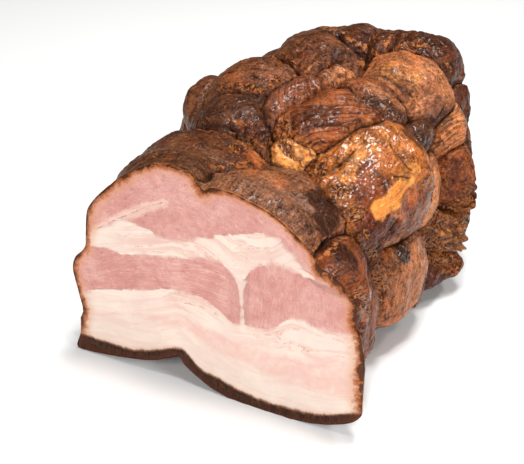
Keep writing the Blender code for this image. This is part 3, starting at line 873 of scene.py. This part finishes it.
class Shader:
    """Short names for the nodes of one material"""

    def __init__(self, name):
        self.material = bpy.data.materials.new(name)
        self.material.use_nodes = True
        self.tree = self.material.node_tree

    def fill(self, node, inputs):
        """Each input of a node is linked to a socket, or set"""
        for key, value in inputs.items():
            socket = node.inputs[key]
            if isinstance(value, bpy.types.NodeSocket):
                self.tree.links.new(value, socket)
            elif socket.type == "RGBA":
                socket.default_value = (*value, 1)
            else:
                socket.default_value = value

    def look(self, inputs):
        """The finished surface"""
        self.fill(self.tree.nodes["Principled BSDF"], inputs)

    def node(self, kind, inputs, **settings):
        made = self.tree.nodes.new(kind)
        for key, value in settings.items():
            setattr(made, key, value)
        self.fill(made, inputs)
        return made

    def place(self):
        return self.node("ShaderNodeTexCoord", {}).outputs["Object"]

    def field(self, name, output="Fac"):
        return self.node("ShaderNodeAttribute", {}, attribute_name=name).outputs[output]

    def noise(self, vector, scale, detail=3, roughness=0.55, distortion=0):
        """Noise with one scale, or with one for each direction"""
        if isinstance(scale, tuple):
            vector = self.node("ShaderNodeMapping", {"Vector": vector, "Scale": scale}).outputs["Vector"]
            scale = 1
        values = {"Vector": vector, "Scale": scale, "Detail": detail, "Roughness": roughness,
                  "Distortion": distortion}
        return self.node("ShaderNodeTexNoise", values).outputs["Fac"]

    def math(self, operation, *values, clamp=False):
        values = dict(enumerate(values))
        return self.node("ShaderNodeMath", values, operation=operation, use_clamp=clamp).outputs[0]

    def plus(self, total, *others):
        for other in others:
            total = self.math("ADD", total, other)
        return total

    def times(self, product, *others):
        for other in others:
            product = self.math("MULTIPLY", product, other)
        return product

    def vary(self, value, *waves):
        """A value moved up and down by noises, each given with its whole reach"""
        for wave, reach in waves:
            value = self.plus(value, self.math("MULTIPLY_ADD", wave, reach, -reach / 2))
        return value

    def off_middle(self, wave):
        """How far a noise is from its middle: near 0 along thin winding lines"""
        return self.math("ABSOLUTE", self.math("SUBTRACT", wave, 0.5))

    def step(self, value, low, high, to_low=0, to_high=1):
        values = {"Value": value, "From Min": low, "From Max": high, "To Min": to_low, "To Max": to_high}
        return self.node("ShaderNodeMapRange", values, interpolation_type="SMOOTHSTEP").outputs["Result"]

    def mix(self, share, first, second, blend="MIX"):
        values = {0: share, 6: first, 7: second}
        return self.node("ShaderNodeMix", values, data_type="RGBA", blend_type=blend).outputs[2]

    def multiply(self, first, second):
        return self.mix(1, first, second, "MULTIPLY")

    def paint(self, colour, *coats):
        """Coats laid over a colour one after the other, each given as its share and its colour"""
        for share, coat in coats:
            colour = self.mix(share, colour, coat)
        return colour

    def grey(self, value):
        values = {"Red": value, "Green": value, "Blue": value}
        return self.node("ShaderNodeCombineColor", values).outputs["Color"]

    def bump(self, height, strength, distance):
        values = {"Height": height, "Strength": strength, "Distance": distance}
        return self.node("ShaderNodeBump", values).outputs["Normal"]


def crust_material():
    s = Shader("browned_crust")
    place = s.place()
    strand = s.field("strand", "Vector")
    tint = s.field("tint", "Color")
    streak, crease = s.field("streak"), s.field("crease")
    grease, cavities = s.field("grease"), s.field("cavity")

    patches = s.noise(place, 38, 3, 0.55, 0.8)
    dusk = s.noise(place, 70, 3, 0.6, 1)
    marbled = s.noise(place, 95, 7, 0.62, 0.4)
    blotch = s.noise(place, 210, 4, 0.6, 0.5)
    filaments = s.off_middle(s.noise(place, 230, 3, 0.6, 1.6))
    beads = s.noise(place, 420, 0.6, 0.4)
    pebble = s.noise(place, 430, 4, 0.6)
    grain = s.noise(place, 1000, 3, 0.65)
    grit = s.noise(place, 1900, 1, 0.5)
    threads = s.noise(strand, (45, 1400, 300), 3, 0.55, 0.15)
    bands = s.noise(strand, (28, 330, 150), 3, 0.55, 0.3)
    ripples = s.noise(strand, (90, 520, 200), 0.5, 0.4)
    calm = s.step(s.field("tint"), 0.15, 0.33, 1, 0.35)  # bright pillows are less mottled

    # The pillow's own colour, redder, paler and duskier in patches
    colour = s.paint(
        tint,
        (s.step(patches, 0.42, 0.64, 0, 0.8), s.multiply(tint, (1.22, 0.94, 0.7))),
        (s.step(patches, 0.52, 0.34, 0, 0.5), s.multiply(tint, (1.4, 1.36, 1.28))),
        (s.times(s.step(dusk, 0.52, 0.64, 0, 0.65), calm), s.multiply(tint, (0.5, 0.46, 0.56))),
    )

    # Lighter and darker with the grain of the crust and with the strands of the meat
    lift = s.vary(0, (marbled, 3.2), (blotch, 1), (pebble, 2), (grain, 3), (grit, 1.6))
    lift = s.times(lift, s.step(streak, 0.2, 1, 1.05, 0.65), calm)
    lift = s.plus(lift, s.times(s.vary(0, (threads, 4.2), (bands, 1.6)), streak), 1)
    lift = s.math("MINIMUM", s.math("MAXIMUM", lift, 0.26), 2.4)
    colour = s.multiply(colour, s.grey(lift))

    # Torn fibres along the frayed creases, what lies over the pillows, painted shade and a painted highlight
    torn = s.paint(
        (0.24, 0.058, 0.012),
        (s.step(pebble, 0.42, 0.6), (0.52, 0.18, 0.046)),
        (s.step(grain, 0.56, 0.64, 0, 0.7), (0.64, 0.33, 0.13)),
        (s.step(filaments, 0.035, 0.08), (0.06, 0.014, 0.005)),
    )
    flecks = s.times(s.step(grain, 0.57, 0.66), s.step(blotch, 0.48, 0.6, 0.05, 0.6))
    pits = s.times(s.step(grain, 0.38, 0.3), s.step(blotch, 0.62, 0.45, 0.1, 0.6), calm)
    # Painted shade: the crust is painted darker in its hollows
    hollow = s.step(cavities, 0.00006, 0.00055, 0, 0.75)
    # Painted highlight: lighter orange on the ridges, where the surface bulges
    painted_ridge_highlight = s.times(s.step(cavities, -0.00012, -0.0005), s.step(blotch, 0.42, 0.6, 0, 0.6))
    lip = s.step(s.vary(s.field("lip"), (pebble, 2.4), (grain, 1.2)), 0.78, 1.1)
    lip = s.times(lip, s.step(patches, 0.42, 0.6, 0.05, 0.85))
    # Painted shade: near black in the creases and folds
    painted_crease_shade = s.step(s.vary(crease, (pebble, 0.54)), 0.34, 0.68, 0, 0.9)
    frayed = s.step(s.vary(s.field("frayed"), (blotch, 1.2)), 0.2, 0.5, 0, 0.92)
    lit_edge = s.step(s.vary(s.field("edge"), (pebble, 1.4)), 0.35, 0.75, 0, 0.85)
    flake_edge = s.times(s.step(s.field("ledge"), 0.62, 0.82), s.step(pebble, 0.4, 0.6, 0.2, 0.9))
    rind = s.mix(s.step(blotch, 0.35, 0.65), (0.035, 0.014, 0.007), (0.085, 0.03, 0.013))
    colour = s.paint(
        colour,
        (flecks, (0.4, 0.125, 0.03)),
        (pits, (0.03, 0.009, 0.004)),
        (hollow, (0.034, 0.009, 0.004)),
        (painted_ridge_highlight, (0.36, 0.11, 0.026)),
        (lip, (0.42, 0.13, 0.03)),
        (painted_crease_shade, (0.026, 0.006, 0.002)),
        (frayed, torn),
        (lit_edge, (0.46, 0.165, 0.046)),
        (flake_edge, (0.52, 0.19, 0.052)),
        (s.field("rind"), rind),
    )

    # Grease as a coat with its own ripples, over a beaded and stringy surface
    wet = s.plus(s.step(grease, 0.02, 0.9, 0, 0.78), s.step(blotch, 0.4, 0.62, -0.18, 0.14))
    wet = s.math("MULTIPLY", wet, s.step(crease, 0.5, 0.2, 0.3, 1), clamp=True)
    height = s.plus(
        beads,
        s.times(ripples, streak, 1.2),
        s.times(s.noise(place, 900, 0.5, 0.4), 0.35),
        s.times(s.field("rough"), beads, 1.2),
        s.times(frayed, filaments, -5),
    )
    s.look({
        "Base Color": colour,
        "Roughness": s.plus(s.step(grease, 0, 0.9, 0.42, 0.34), s.step(pebble, 0.38, 0.62, -0.07, 0.08)),
        "Specular IOR Level": 0.11,
        "Coat Weight": wet,
        "Coat Roughness": 0.1,
        "Coat IOR": 1.42,
        "Coat Normal": s.bump(s.times(s.plus(beads, ripples), 0.9), 1, 0.0008),
        "Normal": s.bump(height, 1, 0.001),
        "Subsurface Weight": 0.05,
        "Subsurface Radius": (1, 0.4, 0.2),
        "Subsurface Scale": 0.0015,
    })
    return s.material


def cut_material():
    s = Shader("cut_meat_and_fat")
    place = s.place()
    fibre, layer = s.field("fibre", "Vector"), s.field("layer", "Vector")
    rim, streaky, lobe_seam = s.field("rim"), s.field("streaky"), s.field("lobe_seam")

    broad = s.noise(place, 60, 3, 0.55, 0.5)
    medium = s.noise(place, 260, 4, 0.6, 0.5)
    fine = s.noise(place, 1100, 3, 0.65)
    hairs = s.noise(place, (850, 850, 150), 3, 0.6, 0.8)
    wisps = s.noise(layer, (32, 230, 230), 4, 0.6, 0.9)
    fine_wisps = s.noise(layer, (60, 900, 900), 3, 0.6, 0.6)
    strands = s.noise(fibre, (150, 620, 620), 3, 0.6, 0.8)
    bundles = s.noise(fibre, (70, 130, 130), 4, 0.6, 2.4)
    cracks = s.noise(fibre, (160, 420, 420), 4, 0.6, 1.5)

    shift = s.vary(0, (medium, 2.4), (broad, 4), (wisps, 5))
    soft = s.step(broad, 0.44, 0.6, 0.5, 1.8)
    lean_share = s.step(s.math("DIVIDE", s.plus(s.field("lean"), shift), soft), -1, 1)

    # Fat: cream, marbled and torn along its layers, with a blush of lean near the rind
    marbling = s.times(s.step(wisps, 0.46, 0.62), s.step(streaky, 0.2, 0.9, 0.35, 0.8))
    torn = s.times(s.step(s.off_middle(wisps), 0.016, 0.003), s.step(medium, 0.42, 0.58))
    torn = s.times(torn, s.step(streaky, 0.2, 0.9, 0.12, 0.85))
    blush = s.step(s.plus(s.field("blush"), s.times(shift, 0.6)), -2.5, 3.5, 0, 0.62)
    fat = s.paint(
        (0.775, 0.65, 0.56),
        (s.step(broad, 0.35, 0.65), (0.745, 0.6, 0.52)),
        (marbling, (0.69, 0.43, 0.37)),
        (s.step(fine_wisps, 0.54, 0.68, 0, 0.35), (0.7, 0.47, 0.39)),
        (torn, (0.6, 0.27, 0.15)),
        (s.times(blush, s.step(medium, 0.35, 0.62, 0.55, 1)), (0.715, 0.4, 0.345)),
    )

    # Lean: rosy, with fibres, pale bundle walls, cracks and the seam in the top lobe
    crack = s.times(s.step(s.off_middle(cracks), 0.012, 0.002), s.step(medium, 0.5, 0.58, 0, 0.75))
    dotted = s.times(s.step(lobe_seam, 0.55, 0.15), s.step(fine, 0.46, 0.56, 0, 0.7))
    meat = s.paint(
        (0.56, 0.25, 0.215),
        (s.step(broad, 0.36, 0.66), (0.65, 0.345, 0.3)),
        (s.step(medium, 0.4, 0.66, 0, 0.3), (0.52, 0.215, 0.19)),
        (s.step(strands, 0.5, 0.66, 0, 0.26), (0.48, 0.185, 0.165)),
        (s.step(strands, 0.46, 0.34, 0, 0.15), (0.79, 0.51, 0.44)),
        (s.step(s.off_middle(bundles), 0.016, 0.003, 0, 0.36), (0.83, 0.6, 0.53)),
        (s.step(fine, 0.52, 0.64, 0, 0.22), (0.48, 0.19, 0.17)),
        (crack, (0.33, 0.09, 0.075)),
        (s.step(s.plus(lobe_seam, shift), 3.6, 0.6, 0, 0.6), (0.82, 0.62, 0.52)),
        (dotted, (0.33, 0.12, 0.085)),
    )

    # The parted second lean, then the browned edge and the dark rind
    parted = s.step(s.vary(s.field("seam"), (medium, 2.6)), 0.55, -0.5, 0, 0.95)
    browned = s.vary(rim, (medium, 3.6), (broad, 2.4), (fine, 1.2))
    frayed = s.times(s.step(browned, 1.4, 0.8), s.step(medium, 0.52, 0.6, 0, 0.75))
    over_rind = s.vary(s.field("over_rind"), (hairs, -1.4), (medium, 2))
    rind_share = s.step(over_rind, 0.4, -0.9)
    rind = s.paint(
        (0.018, 0.005, 0.002),
        (s.step(hairs, 0.35, 0.65), (0.056, 0.018, 0.006)),
        (s.step(medium, 0.52, 0.62, 0, 0.5), (0.11, 0.04, 0.015)),
        (s.step(s.vary(rim, (medium, 4)), 3, 0.8, 0, 0.7), (0.095, 0.018, 0.006)),
    )
    colour = s.paint(
        fat,
        (lean_share, meat),
        (parted, (0.79, 0.62, 0.53)),
        (s.step(browned, 5, 0.8, 0, 0.6), (0.6, 0.27, 0.12)),
        (s.step(browned, 2.3, 1, 0, 0.92), (0.34, 0.09, 0.02)),
        (s.step(browned, 1.1, 0.5, 0, 0.94), (0.07, 0.02, 0.007)),
        (frayed, (0.4, 0.13, 0.036)),
        (s.step(over_rind, 2.6, 0, 0, 0.45), (0.56, 0.32, 0.19)),
        (s.step(over_rind, 1, 0.1, 0, 0.85), (0.23, 0.08, 0.03)),
        (rind_share, rind),
    )
    height = s.plus(s.times(strands, lean_share), s.times(fine, 0.45), s.times(hairs, rind_share, 1.4))
    s.look({
        "Base Color": colour,
        "Roughness": s.step(fine, 0.3, 0.7, 0.36, 0.52),
        "Specular IOR Level": 0.15,
        "Normal": s.bump(height, 0.7, 0.0006),
        "Subsurface Weight": 0.15,
        "Subsurface Radius": (1, 0.45, 0.3),
        "Subsurface Scale": 0.0012,
    })
    return s.material


# Stage

def build_floor():
    mesh = bpy.data.meshes.new("floor")
    sides = ((-1, -1), (1, -1), (1, 1), (-1, 1))
    mesh.from_pydata([(FLOOR_HALF * x, FLOOR_HALF * y, 0) for x, y in sides], [], [(0, 1, 2, 3)])
    s = Shader("pale_floor")
    s.look({"Base Color": (0.93, 0.93, 0.92), "Roughness": 0.6, "Specular IOR Level": 0.2})
    mesh.materials.append(s.material)
    return add_object("floor", mesh)


def build_light(name, place, aim, size, power):
    data = bpy.data.lights.new(name, "AREA")
    data.shape = "DISK"
    data.size = size
    data.energy = power
    light = add_object(name, data)
    light.location = place
    light.rotation_euler = (Vector(aim) - Vector(place)).to_track_quat("-Z", "Y").to_euler()


def build_world():
    world = bpy.data.worlds.new("studio")
    world.use_nodes = True
    background = world.node_tree.nodes["Background"]
    background.inputs["Color"].default_value = (1, 1, 1, 1)
    background.inputs["Strength"].default_value = WORLD_STRENGTH
    bpy.context.scene.world = world


def build_camera():
    """The photo's view, set up in the sections' frame and then laid down with the slab"""
    azimuth, elevation = math.radians(VIEW_AZIMUTH), math.radians(VIEW_ELEVATION)
    flat = math.cos(elevation)
    back = Vector((math.sin(azimuth) * flat, -math.cos(azimuth) * flat, math.sin(elevation)))
    data = bpy.data.cameras.new("camera")
    data.sensor_fit = "HORIZONTAL"
    data.sensor_width = SENSOR
    data.lens = FOCAL_PIXELS * SENSOR / PHOTO_WIDTH
    camera = add_object("camera", data)
    place = Matrix.Translation(Vector(VIEW_TARGET) + back * VIEW_DISTANCE)
    aim = back.to_track_quat("Z", "Y").to_matrix().to_4x4()
    lying = Matrix.Translation((-MIDDLE_X, -MIDDLE_Y, 0)) @ Matrix.Rotation(-math.radians(LEAN), 4, "Y")
    camera.matrix_world = lying @ Matrix.Translation((0, 0, -TABLE_Z)) @ place @ aim
    bpy.context.scene.camera = camera


build_camera()
build_world()
floor = build_floor()
for light_name, light_values in LIGHTS.items():
    build_light(light_name, *light_values)
bpy.context.scene.view_settings.view_transform = "Standard"

slab = build_slab()
slab.data.materials.append(crust_material())
slab.data.materials.append(cut_material())

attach(slab, "root")
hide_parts("pork_belly")
